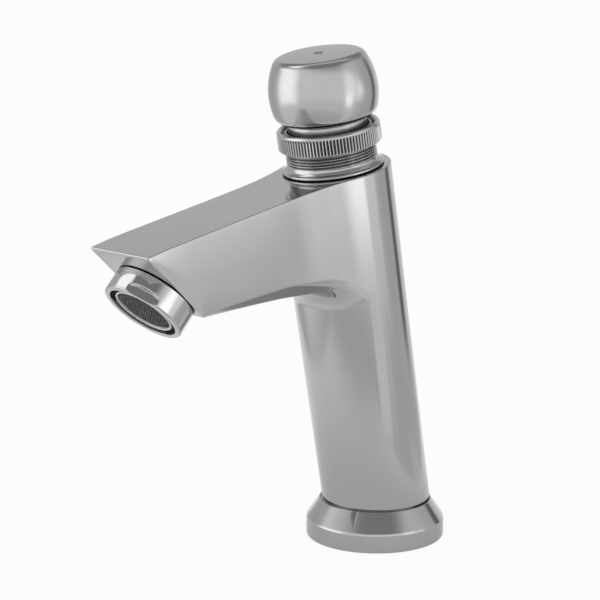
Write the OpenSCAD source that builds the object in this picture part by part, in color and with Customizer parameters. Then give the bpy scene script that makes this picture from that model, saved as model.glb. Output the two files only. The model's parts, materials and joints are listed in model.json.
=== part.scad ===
// Push timed tap: a leaning column with a flat-topped spout, a slanted aerator
// and a spring-loaded push valve that closes by itself behind a dashpot piston.
// Millimetres. Origin on the deck under the centre of the base flange, +Z up,
// the spout points towards -Y.

/* [Column] */
// Forward lean of the column and of the valve in it, in degrees
column_lean = 10.5; // [6:0.5:13]
// Diameter where the column meets the base flange
column_base_d = 38.8; // [37.4:0.2:42]
// Diameter at the top face
column_top_d = 40.2; // [39:0.2:44]
// Length along the axis, from the flange to the top face
column_len = 124.5; // [115:0.5:140]
// Wall of the hollow column
column_wall = 3.6; // [2.6:0.1:4.6]
// Distance of the column's axis behind the flange's centre
column_setback = 0.5; // [0:0.1:1]

/* [Base flange] */
// Outer diameter
flange_d = 50; // [47:0.5:60]
// Height of the straight rim
flange_rim_h = 6.8; // [4:0.2:9]
// Height to the foot of the column
flange_h = 14.4; // [13:0.2:20]
// Swell of the sloping shoulder above a straight cone
flange_swell = 0.6; // [0.2:0.1:1]
// Width of the lip that stands on the deck round the gasket
flange_lip = 1.4; // [0.8:0.1:2]
// Thickness of the deck gasket
deck_gasket_t = 1.5; // [1:0.1:2.5]

/* [Inlet] */
// Bore of the inlet socket, the core of a half-inch pipe thread
inlet_d = 18.6; // [16:0.1:19]
// Depth of the socket that is free for the pipe
inlet_depth = 11; // [9:0.5:12]
// Wall round the inlet socket
inlet_wall = 5.6; // [4:0.1:6.4]
// Step at the end of the socket that stops the pipe
inlet_step = 0.6; // [0.4:0.1:1]
// Thickness of the strainer disc
strainer_t = 1.2; // [0.8:0.1:1.6]
// Hole in the strainer disc
strainer_hole_d = 1.8; // [1:0.1:2]
// Thickness of the flow restrictor disc
restrictor_t = 1.8; // [1:0.1:2.4]
// Orifice of the flow restrictor
restrictor_hole_d = 5; // [3:0.5:8]

/* [Spout] */
// Reach along the top face, from the column's axis to the tip edge
spout_reach = 98.3; // [92:0.5:120]
// Width across the flat sides
spout_w = 29.6; // [29:0.2:33]
// Height of the tip edge above the flat underside
spout_drop = 22.5; // [22:0.1:26]
// Tilt of the end face's outward normal, forward from straight down, in degrees
spout_face_tilt = 43.5; // [40:0.5:47]
// Radius of the long lower edges
spout_edge_r = 5; // [2:0.5:6]
// Radius of the hollow blend between the spout's sides and the column
spout_blend_r = 90; // [40:5:120]
// Radius of the two upright corners at the tip
spout_corner_r = 3.5; // [1:0.5:5]
// Water duct along the spout
duct_d = 15; // [10:0.5:16]

/* [Aerator] */
// Outer diameter of the shell
aerator_d = 28.3; // [27.4:0.1:29]
// Length of the shell outside the end face
aerator_proud = 8.4; // [7.6:0.1:11]
// Distance from the tip edge to the shell, along the end face
aerator_margin = 7.6; // [6:0.1:8]
// Diameter of the shell's thread in the spout
aerator_thread_d = 19.6; // [18.4:0.1:20]
// Length of that thread
aerator_thread_len = 6; // [5:0.5:7]
// Diameter of the mouth inside the shell's rim
aerator_mouth_d = 24.2; // [22.8:0.1:24.8]
// Depth of the mouth
aerator_mouth_depth = 3.2; // [2.6:0.1:3.8]
// Distance across the two spanner flats
aerator_flats = 26; // [25.2:0.1:27]
// Length of the spanner flats
aerator_flat_len = 3.4; // [3:0.1:5]
// Outer diameter of the insert's ring, seen in the mouth
insert_ring_d = 20.8; // [20.2:0.1:22]
// Diameter of the insert's barrel
insert_barrel_d = 16; // [14:0.1:16.6]
// Wall of the insert
insert_wall = 0.8; // [0.6:0.1:1.2]
// Thickness of the outlet screen
screen_t = 0.8; // [0.5:0.1:1]
// Spacing of the outlet screen's wires
screen_pitch = 1.6; // [1.2:0.1:3]
// Width of the outlet screen's wires
screen_wire = 0.6; // [0.4:0.1:0.8]
// Thickness of the aerator's washer
aerator_washer_t = 1.5; // [1:0.1:2]

/* [Valve head] */
// Diameter of the bonnet's bell-shaped flange
bell_d = 35.6; // [35:0.1:38]
// Height of the bell, from its rim to the neck
bell_h = 3.8; // [2.5:0.1:5]
// Height of the bell's straight rim
bell_rim_h = 0.8; // [0.4:0.1:1.2]
// Diameter of the bonnet's threaded neck
neck_d = 31.6; // [31:0.1:33]
// Pitch of the neck's thread
neck_pitch = 1; // [0.75:0.25:1.5]
// Thickness of the gasket under the bell
bonnet_gasket_t = 0.4; // [0.3:0.1:1.5]
// Diameter of the bonnet's thread in the column
spigot_d = 32; // [31.4:0.1:33]
// Length of that thread below the top face
spigot_len = 14; // [12:0.5:16]
// Diameter of the knurled ring nut
nut_d = 35.8; // [34.6:0.1:38]
// Height of the ring nut
nut_h = 7.3; // [6:0.1:9]
// Height of the ring nut's underside above the top face
nut_lift = 7.9; // [6.4:0.1:9]
// Number of ribs round the nut
nut_ribs = 96; // [60:4:120]
// Depth of the knurl
knurl_depth = 0.45; // [0.3:0.05:0.6]

/* [Push button] */
// Largest diameter of the button
button_d = 37.8; // [36.6:0.1:42]
// Height of the button
button_h = 22.6; // [20:0.1:28]
// Height of the widest ring above the button's underside
button_waist_h = 9.2; // [8:0.1:11]
// Radius of the bulging side
button_side_r = 25; // [20:0.5:40]
// Radius of the lower corner
button_foot_r = 4; // [3:0.1:5]
// Radius of the upper shoulder
button_shoulder_r = 3.2; // [1.5:0.1:4]
// Rise of the domed top above its shoulder
button_dome = 0.3; // [0.2:0.1:1.2]
// Diameter of the dimple in the top
dimple_d = 2.6; // [1:0.1:4]
// Gap between the nut and the button at rest
button_gap = 2.5; // [2.4:0.1:5]
// Travel of the button
press_travel = 2.8; // [1:0.1:2.8]

/* [Plunger and valve] */
// Diameter of the polished sleeve under the button
sleeve_d = 27.6; // [25:0.1:28]
// Wall of the sleeve
sleeve_wall = 1.4; // [1:0.1:2]
// Thickness of the sleeve's top
sleeve_top_t = 2.2; // [1.6:0.1:3]
// Diameter of the threaded boss that carries the button
boss_d = 17; // [14:0.5:20]
// Height of that boss
boss_h = 6; // [4:0.5:7]
// Diameter of the stem
stem_d = 8; // [7:0.1:9]
// Diameter of the stem's threaded ends
stem_end_d = 6; // [5:0.1:6.4]
// Size of the nuts on the stem, across flats
stem_nut_af = 10; // [9:0.5:11]
// Height of the nuts on the stem
stem_nut_h = 3; // [2:0.1:4]
// Wire of the return spring
spring_wire = 1.5; // [1:0.1:1.8]
// Diameter of the return spring, at the middle of its wire
spring_d = 16; // [15:0.1:19]
// Turns of the return spring
spring_turns = 6; // [4:1:7]
// Thickness of the gland's flange
gland_flange_t = 2.2; // [2:0.1:3]
// Diameter of the gland's flange
gland_flange_d = 24; // [22:0.1:25]
// Diameter of the gland's hub
gland_hub_d = 20; // [17:0.1:21]
// Length of the gland's hub
gland_hub_len = 7.5; // [6:0.1:9]
// Thickness of the stem's O-ring
oring_t = 1.8; // [1.4:0.1:1.8]
// Outer diameter of the cage
cage_d = 26.6; // [26:0.1:28]
// Wall of the cage
cage_wall = 2.4; // [1.8:0.1:3]
// Length of the cage
cage_len = 23.6; // [22:0.1:26]
// Ports round the cage
cage_ports = 4; // [3:1:6]
// Diameter of a port
port_d = 7; // [4:0.5:7]
// Diameter of the chamber round the cage
chamber_d = 30; // [29.4:0.1:31]
// Thickness of the piston
piston_t = 4; // [3:0.1:5]
// Distance from the gland to the piston at rest
piston_drop = 4.5; // [3:0.1:5]
// Thickness of the piston's cup seal
cup_t = 3; // [2:0.1:3.4]
// Thickness of the piston's spring clip
clip_t = 0.8; // [0.6:0.1:1]
// Diameter of the bleed screw in the piston
bleed_d = 2.4; // [2:0.1:2.6]
// Bore of the valve seat
seat_bore_d = 12.4; // [11:0.1:13]
// Diameter of the seat's hub in the partition
seat_hub_d = 18; // [17:0.1:20]
// Thickness of the seat's flange
seat_flange_t = 2; // [1.4:0.1:2.6]
// Thickness of the gasket under the seat's flange
seat_gasket_t = 0.8; // [0.5:0.1:1.2]
// Distance the seat's lip stands below the partition
seat_lip = 1; // [0.6:0.1:1.6]
// Thickness of the partition that holds the seat
partition_t = 4; // [3:0.1:6]
// Diameter of the poppet
poppet_d = 17; // [16.6:0.1:18]
// Thickness of the poppet
poppet_t = 3.4; // [2.4:0.1:4]
// Thickness of the poppet's washer
washer_t = 2.5; // [1.6:0.1:3]

/* [Clearances] */
// Radial clearance of a seated or screwed piece
seat_gap = 0.05; // [0.02:0.01:0.1]
// Radial clearance of the stem in its gland
run_gap = 0.06; // [0.03:0.01:0.1]
// Radial clearance of the sleeve, piston and other loose sliding pieces
slide_gap = 0.3; // [0.2:0.05:0.4]
// Space left at the end of the travel
stop_gap = 0.5; // [0.3:0.1:0.8]
// Space between the closed washer and the seat's lip
closed_gap = 0.05; // [0.02:0.01:0.1]

/* [Hidden] */
$fn = 96;
// Small overlap that lets a cut pass right through a face
eps = 0.5;
// A length larger than the tap
far = 400;

// Heights along the column's axis, measured from the foot of the column
bell_z = column_len + bonnet_gasket_t;
nut_z = column_len + nut_lift;
nut_top_z = nut_z + nut_h;
// Distance of the neck's end below the nut's top
neck_recess = 1.2;
neck_top_z = nut_top_z - neck_recess;
button_z = nut_top_z + button_gap;
spigot_z = column_len - spigot_len;
gland_seat_z = spigot_z + gland_hub_len;
gland_top_z = gland_seat_z + gland_flange_t;
sleeve_z = gland_seat_z + press_travel + stop_gap;
ceiling_z = button_z - sleeve_top_t;
boss_top_z = button_z + boss_h;
stem_top_z = boss_top_z + stem_nut_h + stop_gap;
seat_top_z = spigot_z - cage_len;
seat_flange_z = seat_top_z - seat_flange_t;
partition_top_z = seat_flange_z - seat_gasket_t;
partition_z = partition_top_z - partition_t;
lip_z = partition_z - seat_lip;
washer_top_z = lip_z - closed_gap;
washer_z = washer_top_z - washer_t;
poppet_z = washer_z - poppet_t;
poppet_nut_z = poppet_z - stem_nut_h;
stem_z = poppet_nut_z - stop_gap;
piston_top_z = spigot_z - piston_drop;
piston_z = piston_top_z - piston_t;
cup_z = piston_z - cup_t;
clip_z = cup_z - clip_t;
// Collar on the stem that the piston is clipped against
collar_h = 1.5;
collar_w = 1.2;
// Depth of the groove that holds the piston's clip
clip_groove = 0.6;

// Radii that mate
sleeve_r = sleeve_d / 2;
neck_bore_r = sleeve_r + slide_gap;
stem_r = stem_d / 2;
cage_bore_r = cage_d / 2 - cage_wall;
piston_r = cage_bore_r - slide_gap;
cup_r = cage_bore_r - run_gap;
nut_bore_r = neck_d / 2 + seat_gap;
column_bore_r = column_base_d / 2 - column_wall;
// The strainer and restrictor discs behind the socket, and the ledge they lie against
disc_r = inlet_d / 2 - inlet_step - seat_gap;
disc_ledge = 1.5;
// Radius of the rounded rim at the nut's top, and the chamfer that the button dips into
nut_rim_r = 0.9;
nut_mouth = 0.9;
seat_flange_r = cage_d / 2 - 2 * seat_gap;
aerator_r = aerator_d / 2;

// The tip edge, the underside and the end face in the Y, Z plane
lean_sin = sin(column_lean);
lean_cos = cos(column_lean);
tip_y = column_setback - column_len * lean_sin - spout_reach * lean_cos;
tip_z = flange_h + column_len * lean_cos - spout_reach * lean_sin;
under_z = tip_z - spout_drop;
face_len = spout_drop / sin(spout_face_tilt);
heel_y = tip_y + face_len * cos(spout_face_tilt);
aerator_along = aerator_margin + aerator_r;
mouth_y = tip_y + aerator_along * cos(spout_face_tilt);
mouth_z = tip_z - aerator_along * sin(spout_face_tilt);
socket_depth = aerator_thread_len + aerator_washer_t;
// Wall under the water duct
duct_floor = 3;
duct_z = under_z + duct_floor + duct_d / 2;
// Height along the axis where the duct meets the column
port_z = (duct_z - flange_h) / lean_cos;
// Wall between the end of the duct and the end face
duct_end_wall = 4;
duct_end_y = heel_y + duct_end_wall;

// Colours of the finishes
chrome = [0.78, 0.78, 0.79];
brass = [0.72, 0.58, 0.30];
steel = [0.62, 0.63, 0.64];
rubber = [0.05, 0.05, 0.05];
white_plastic = [0.88, 0.88, 0.86];

// Moves a piece that is drawn upright at the origin onto the column's axis, at height z
module on_axis(z = 0) {
  translate([0, column_setback, flange_h])
    rotate([column_lean, 0, 0])
      translate([0, 0, z])
        children();
}

// Moves a piece onto the aerator's axis: z runs out of the end face, y towards the tip
module on_face(z = 0) {
  translate([0, mouth_y, mouth_z])
    rotate([180 - spout_face_tilt, 0, 0])
      translate([0, 0, z])
        children();
}

// A round ring of rectangular section
module ring(r_out, r_in, h) {
  difference() {
    cylinder(r = r_out, h = h);
    translate([0, 0, -eps])
      cylinder(r = r_in, h = h + 2 * eps);
  }
}

// A hexagon nut with a round bore
module hex_nut(af, bore_r, h) {
  difference() {
    cylinder(d = af / cos(30), h = h, $fn = 6);
    translate([0, 0, -eps])
      cylinder(r = bore_r, h = h + 2 * eps);
  }
}

// Points on an arc round centre c, from angle a0 to a1
function arc(c, r, a0, a1, n) =
  [for (i = [0:n]) c + r * [cos(a0 + (a1 - a0) * i / n), sin(a0 + (a1 - a0) * i / n)]];

// Body: column, spout and waterways

// The solid column, cut level where it stands on the flange
module column_solid() {
  // Part of the cone that runs on below the flange's top before the level cut
  root = column_base_d / 2 * lean_sin + eps;
  slope = (column_top_d - column_base_d) / 2 / column_len;
  intersection() {
    on_axis(-root)
      cylinder(h = column_len + root, r1 = column_base_d / 2 - slope * root, r2 = column_top_d / 2);
    translate([-far / 2, -far / 2, flange_h])
      cube(far);
  }
}

// Everything between the end face, the underside and the top face, up to the column's axis
module spout_side_prism() {
  axis_foot_y = column_setback - port_z * lean_sin;
  rotate([90, 0, 90])
    linear_extrude(far, center = true)
      polygon([
        [tip_y, tip_z],
        [heel_y, under_z],
        [axis_foot_y, under_z],
        [column_setback - column_len * lean_sin, flange_h + column_len * lean_cos]
      ]);
}

// A long bar of the spout's cross-section, with rounded lower edges
module spout_bar() {
  half = spout_w / 2;
  length = column_setback - tip_y + eps;
  translate([0, tip_y - eps, 0]) {
    translate([-half, 0, under_z + spout_edge_r])
      cube([spout_w, length, far]);
    translate([-half + spout_edge_r, 0, under_z])
      cube([spout_w - 2 * spout_edge_r, length, far]);
    for (side = [-1, 1])
      translate([side * (half - spout_edge_r), 0, under_z + spout_edge_r])
        rotate([-90, 0, 0])
          cylinder(r = spout_edge_r, h = length);
  }
}

// Rounds the two upright corners at the tip
module tip_corner_cut() {
  half = spout_w / 2;
  on_axis()
    for (side = [-1, 1])
      difference() {
        translate([side * (half - spout_corner_r / 2), -spout_reach + spout_corner_r / 2, 0])
          cube([spout_corner_r + eps, spout_corner_r + eps, far], center = true);
        translate([side * (half - spout_corner_r), -spout_reach + spout_corner_r, -far])
          cylinder(r = spout_corner_r, h = 2 * far);
      }
}

// Hollow blends that lead the spout's flat sides into the round column
module spout_blend() {
  half = spout_w / 2;
  // The column's radius at the underside, where it is least
  under_s = (under_z - flange_h) / lean_cos;
  col_r = (column_base_d + (column_top_d - column_base_d) * under_s / column_len) / 2;
  cx = half + spout_blend_r;
  cy = -sqrt(pow(col_r + spout_blend_r, 2) - pow(cx, 2));
  touch = [cx, cy] * col_r / (col_r + spout_blend_r);
  // The hollow is sunk a little, so that it crosses the side and the column cleanly
  sink = 0.05;
  // A sloping lower face carries on from the rounded lower edges of the spout
  slope_z = under_z + spout_edge_r * (2 - sqrt(2));
  intersection() {
    on_axis()
      difference() {
        linear_extrude(column_len)
          polygon([[-half, cy], [half, cy], touch, [0, touch[1]], [-touch[0], touch[1]]]);
        for (side = [-1, 1])
          translate([side * (cx - sink), cy, -eps])
            cylinder(r = spout_blend_r, h = column_len + 2 * eps, $fn = 360);
      }
    rotate([90, 0, 0])
      linear_extrude(far, center = true)
        polygon([
          [-half, slope_z],
          [half, slope_z],
          [half + far / 2, slope_z + far / 2],
          [-half - far / 2, slope_z + far / 2]
        ]);
  }
}

module waterways() {
  // Inlet socket and the passage up into the hollow column
  translate([0, 0, -eps])
    cylinder(d = inlet_d, h = inlet_depth + eps);
  translate([0, 0, inlet_depth - eps])
    cylinder(r = disc_r + seat_gap, h = strainer_t + restrictor_t + eps);
  translate([0, 0, inlet_depth])
    cylinder(r = disc_r - disc_ledge, h = flange_h + column_wall);
  on_axis(column_wall * 2)
    cylinder(r = column_bore_r, h = partition_z - column_wall * 2);
  // Seat hole, valve chamber and the bonnet's thread
  on_axis(partition_z - eps)
    cylinder(r = seat_hub_d / 2 + seat_gap, h = partition_t + 2 * eps);
  on_axis(partition_top_z)
    cylinder(d = chamber_d, h = spigot_z - partition_top_z + eps);
  on_axis(spigot_z)
    cylinder(r = spigot_d / 2 + seat_gap, h = spigot_len + eps);
  // Duct along the spout and the aerator's socket
  translate([0, duct_end_y, duct_z])
    rotate([-90, 0, 0])
      cylinder(d = duct_d, h = column_setback - port_z * lean_sin - duct_end_y);
  on_face(-socket_depth)
    cylinder(r = aerator_thread_d / 2 + seat_gap, h = socket_depth + eps);
}

module tap_body() {
  color(chrome)
    difference() {
      union() {
        column_solid();
        intersection() {
          spout_side_prism();
          union() {
            difference() {
              spout_bar();
              tip_corner_cut();
            }
            spout_blend();
          }
        }
        cylinder(d = inlet_d + 2 * inlet_wall, h = flange_h + eps);
      }
      waterways();
    }
}

// Base and inlet

module base_flange() {
  rim_r = flange_d / 2;
  // The flange's top is a little wider than the column, which leaves a crease
  crease = 0.1;
  top_r = column_base_d / 2 + crease;
  bore_r = inlet_d / 2 + inlet_wall + seat_gap;
  // The shoulder is an arc through the rim and the top, raised by the swell
  chord = [top_r - rim_r, flange_h - flange_rim_h];
  chord_len = norm(chord);
  shoulder_r = (pow(chord_len / 2, 2) + pow(flange_swell, 2)) / (2 * flange_swell);
  middle = [rim_r, flange_rim_h] + chord / 2;
  inward = [-chord[1], chord[0]] / chord_len;
  centre = middle + inward * (shoulder_r - flange_swell);
  half_angle = asin(chord_len / 2 / shoulder_r);
  mid_angle = atan2(-inward[1], -inward[0]);
  // Rounded foot of the rim
  foot_r = 0.8;
  color(chrome)
    difference() {
      rotate_extrude()
        polygon(concat(
          [[bore_r, 0]],
          arc([rim_r - foot_r, foot_r], foot_r, -90, 0, 6),
          arc(centre, shoulder_r, mid_angle - half_angle, mid_angle + half_angle, 12),
          [[bore_r, flange_h]]
        ));
      translate([0, 0, -eps])
        cylinder(r = rim_r - flange_lip, h = deck_gasket_t + eps);
    }
}

module deck_gasket() {
  color(rubber)
    ring(flange_d / 2 - flange_lip - seat_gap, inlet_d / 2 + inlet_wall + seat_gap, deck_gasket_t);
}

module inlet_strainer() {
  // Two rings of holes round one in the middle
  rings = [1, 6, 12];
  spacing = disc_r / 3;
  color(steel)
    translate([0, 0, inlet_depth])
      difference() {
        cylinder(r = disc_r, h = strainer_t);
        for (k = [0:len(rings) - 1])
          for (i = [0:rings[k] - 1])
            rotate(360 / rings[k] * i)
              translate([k * spacing, 0, -eps])
                cylinder(d = strainer_hole_d, h = strainer_t + 2 * eps, $fn = 16);
      }
}

module flow_restrictor() {
  color(white_plastic)
    translate([0, 0, inlet_depth + strainer_t])
      ring(disc_r, restrictor_hole_d / 2, restrictor_t);
}

// Fixed pieces of the valve

module seat_gasket() {
  color(rubber)
    on_axis(partition_top_z)
      ring(seat_flange_r, seat_hub_d / 2 + seat_gap, seat_gasket_t);
}

module valve_seat() {
  // Wall of the raised lip that the washer closes on
  lip_wall = 0.8;
  color(brass)
    on_axis(lip_z)
      difference() {
        union() {
          cylinder(d = seat_bore_d + 2 * lip_wall, h = seat_lip + eps);
          translate([0, 0, seat_lip])
            cylinder(d = seat_hub_d, h = seat_flange_z - partition_z);
          translate([0, 0, seat_flange_z - lip_z])
            cylinder(r = seat_flange_r, h = seat_flange_t);
        }
        translate([0, 0, -eps])
          cylinder(d = seat_bore_d, h = seat_top_z - lip_z + 2 * eps);
      }
}

module valve_cage() {
  color(brass)
    difference() {
      on_axis(seat_top_z)
        ring(cage_d / 2, cage_bore_r, cage_len);
      on_axis(port_z)
        for (i = [0:cage_ports - 1])
          rotate([-90, 0, 360 / cage_ports * i])
            cylinder(d = port_d, h = cage_d, $fn = 32);
    }
}

// The bonnet's outline from the bell's rim to the end of the threaded neck
module bonnet_outline() {
  bell_r = bell_d / 2;
  neck_r = neck_d / 2;
  flare_h = bell_h - bell_rim_h;
  flare_w = bell_r - neck_r;
  thread_depth = neck_pitch * 0.45;
  thread_z = bell_h + neck_pitch / 2;
  turns = floor((neck_top_z - bell_z - thread_z) / neck_pitch);
  polygon(concat(
    [[neck_bore_r - eps, 0], [bell_r, 0], [bell_r, bell_rim_h]],
    [for (i = [1:8]) [neck_r + flare_w * pow(1 - i / 8, 2), bell_rim_h + flare_h * i / 8]],
    [for (i = [0:turns - 1]) each [
      [neck_r, thread_z + i * neck_pitch],
      [neck_r - thread_depth, thread_z + (i + 0.5) * neck_pitch]
    ]],
    [[neck_r, thread_z + turns * neck_pitch], [neck_r, neck_top_z - bell_z]],
    [[neck_bore_r - eps, neck_top_z - bell_z]]
  ));
}

module bonnet() {
  color(chrome)
    difference() {
      union() {
        on_axis(bell_z)
          rotate_extrude()
            bonnet_outline();
        on_axis(spigot_z)
          cylinder(d = spigot_d, h = bell_z - spigot_z + eps);
      }
      on_axis(gland_seat_z)
        cylinder(r = neck_bore_r, h = neck_top_z - gland_seat_z + eps);
      on_axis(spigot_z - eps)
        cylinder(r = gland_hub_d / 2 + seat_gap, h = gland_hub_len + 2 * eps);
    }
}

module bonnet_gasket() {
  // The gasket is set back under the bell, which leaves a dark joint line
  setback = 1;
  color(rubber)
    on_axis(column_len)
      ring(bell_d / 2 - setback, spigot_d / 2 + seat_gap, bonnet_gasket_t);
}

module gland_bush() {
  groove_r = stem_r + run_gap + oring_t + seat_gap;
  color(brass)
    difference() {
      on_axis(spigot_z)
        union() {
          cylinder(d = gland_hub_d, h = gland_hub_len + eps);
          translate([0, 0, gland_hub_len])
            cylinder(d = gland_flange_d, h = gland_flange_t);
        }
      on_axis(spigot_z - eps)
        cylinder(r = stem_r + run_gap, h = gland_top_z - spigot_z + 2 * eps);
      on_axis(gland_top_z - oring_t)
        cylinder(r = groove_r, h = oring_t + eps);
    }
}

module stem_oring() {
  color(rubber)
    on_axis(gland_top_z - oring_t / 2)
      rotate_extrude()
        translate([stem_r + run_gap + oring_t / 2, 0])
          circle(d = oring_t, $fn = 24);
}

// The knurl is a toothed prism, trimmed by the turned outline of the nut
module knurled_nut() {
  r = nut_d / 2;
  lower_chamfer = 0.8;
  teeth = [for (i = [0:2 * nut_ribs - 1])
    (i % 2 == 0 ? r : r - knurl_depth) * [cos(180 / nut_ribs * i), sin(180 / nut_ribs * i)]];
  // Smooth band between the ribs and the rounded rim, a little lower than the ribs
  band = 0.4;
  band_h = nut_rim_r + band;
  band_r = r - knurl_depth * 0.4;
  core_r = r - 2 * knurl_depth;
  color(chrome)
    on_axis(nut_z)
      difference() {
        union() {
          intersection() {
            linear_extrude(nut_h - band_h)
              polygon(teeth);
            cylinder(h = nut_h, r1 = r - lower_chamfer, r2 = r - lower_chamfer + nut_h);
          }
          translate([0, 0, nut_h - band_h - eps])
            rotate_extrude()
              polygon(concat(
                [[nut_bore_r - eps, 0], [core_r, 0], [core_r, eps], [band_r, eps]],
                arc([band_r - nut_rim_r, band_h + eps - nut_rim_r], nut_rim_r, 0, 90, 8),
                [[nut_bore_r - eps, band_h + eps]]
              ));
        }
        translate([0, 0, -eps])
          cylinder(r = nut_bore_r, h = nut_h + 2 * eps);
        translate([0, 0, nut_h - nut_mouth])
          cylinder(r1 = nut_bore_r, r2 = nut_bore_r + nut_mouth + eps, h = nut_mouth + eps);
      }
}

// Aerator

module aerator_shell() {
  // Short neck that leaves a dark line at the end face
  neck_h = 0.5;
  neck_cut = 0.9;
  rim_chamfer = 0.7;
  // Angle of the spanner flats from the tap's side towards the tip
  flat_turn = 52;
  mouth_z0 = aerator_proud - aerator_mouth_depth;
  color(chrome)
    on_face()
      difference() {
        union() {
          translate([0, 0, -aerator_thread_len])
            cylinder(d = aerator_thread_d, h = aerator_thread_len + eps);
          cylinder(r = aerator_r - neck_cut, h = neck_h + eps);
          translate([0, 0, neck_h])
            cylinder(r = aerator_r, h = aerator_proud - neck_h - rim_chamfer);
          translate([0, 0, aerator_proud - rim_chamfer])
            cylinder(r1 = aerator_r, r2 = aerator_r - rim_chamfer, h = rim_chamfer);
        }
        translate([0, 0, mouth_z0])
          cylinder(d = aerator_mouth_d, h = aerator_mouth_depth + eps);
        translate([0, 0, -aerator_thread_len - eps])
          cylinder(r = insert_barrel_d / 2 + seat_gap, h = aerator_thread_len + aerator_proud);
        for (turn = [0, 180])
          rotate(flat_turn + turn)
            translate([aerator_flats / 2, -aerator_r, aerator_proud - aerator_flat_len])
              cube([aerator_r, aerator_d, aerator_flat_len + eps]);
      }
}

module aerator_washer() {
  color(rubber)
    on_face(-socket_depth)
      ring(aerator_thread_d / 2 - seat_gap, insert_barrel_d / 2 - insert_wall, aerator_washer_t);
}

// Depth of the insert's ring below the shell's rim, and of the screen below the ring
insert_sunk = 0.6;
screen_sunk = 0.4;
insert_ring_z = aerator_proud - aerator_mouth_depth;
insert_ring_h = aerator_mouth_depth - insert_sunk;
screen_z = insert_ring_z + insert_ring_h - screen_t - screen_sunk;

module aerator_insert() {
  bore_r = insert_barrel_d / 2 - insert_wall;
  color(white_plastic)
    on_face()
      difference() {
        union() {
          translate([0, 0, -aerator_thread_len])
            cylinder(d = insert_barrel_d, h = aerator_thread_len + insert_ring_z + eps);
          translate([0, 0, insert_ring_z])
            cylinder(d = insert_ring_d, h = insert_ring_h);
        }
        translate([0, 0, -aerator_thread_len - eps])
          cylinder(r = bore_r, h = aerator_thread_len + aerator_proud);
        translate([0, 0, screen_z])
          cylinder(r = insert_ring_d / 2 - insert_wall, h = insert_ring_h);
      }
}

module aerator_diffuser() {
  holes = 10;
  hole_d = 1.6;
  r = insert_barrel_d / 2 - insert_wall - seat_gap;
  // Thickness of the disc
  disc_t = 1.6;
  color(white_plastic)
    on_face(-aerator_thread_len)
      difference() {
        cylinder(r = r, h = disc_t);
        for (i = [0:holes - 1])
          rotate(360 / holes * i)
            translate([r - 2 * hole_d, 0, -eps])
              cylinder(d = hole_d, h = disc_t + 2 * eps, $fn = 16);
      }
}

// Crossed wires in a flat ring
module aerator_screen() {
  r = insert_ring_d / 2 - insert_wall - seat_gap;
  rim = 0.7;
  count = floor((r - rim) / screen_pitch);
  color(steel)
    on_face(screen_z) {
      ring(r, r - rim, screen_t);
      intersection() {
        cylinder(r = r - rim / 2, h = screen_t);
        for (turn = [0, 90])
          rotate(turn)
            for (i = [-count:count])
              translate([i * screen_pitch - screen_wire / 2, -r, 0])
                cube([screen_wire, 2 * r, screen_t]);
      }
    }
}

// Spring: one tube along a helix, whose end turns lie flat on their seats

module return_spring() {
  rings_per_turn = 12;
  sides = 6;
  steps = spring_turns * rings_per_turn;
  wire_r = spring_wire / 2;
  low = gland_top_z + wire_r + seat_gap;
  high = ceiling_z - wire_r - seat_gap;
  // Share of the rise done by step i: the first and last half turn stay almost flat
  function rise(i) =
    let (t = i / steps, flat = 0.5 / spring_turns)
    t < flat ? 0.15 * t : t > 1 - flat ? 1 - 0.15 * (1 - t)
    : 0.15 * flat + (t - flat) / (1 - 2 * flat) * (1 - 0.3 * flat);
  function ring_at(i) =
    let (a = 360 * i / rings_per_turn, z = low + (high - low) * rise(i))
    [for (k = [0:sides - 1])
      let (b = 360 * k / sides, r = spring_d / 2 + wire_r * cos(b))
      [r * cos(a), r * sin(a), z + wire_r * sin(b)]];
  points = [for (i = [0:steps]) each ring_at(i)];
  walls = [for (i = [0:steps - 1]) for (k = [0:sides - 1])
    let (a = i * sides + k, b = i * sides + (k + 1) % sides)
    each [[a, b, b + sides], [a, b + sides, a + sides]]];
  first_cap = [for (k = [1:sides - 2]) [0, k + 1, k]];
  last = steps * sides;
  last_cap = [for (k = [1:sides - 2]) [last, last + k, last + k + 1]];
  color(steel)
    on_axis()
      polyhedron(points, concat(walls, first_cap, last_cap));
}

// Moving pieces

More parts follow.
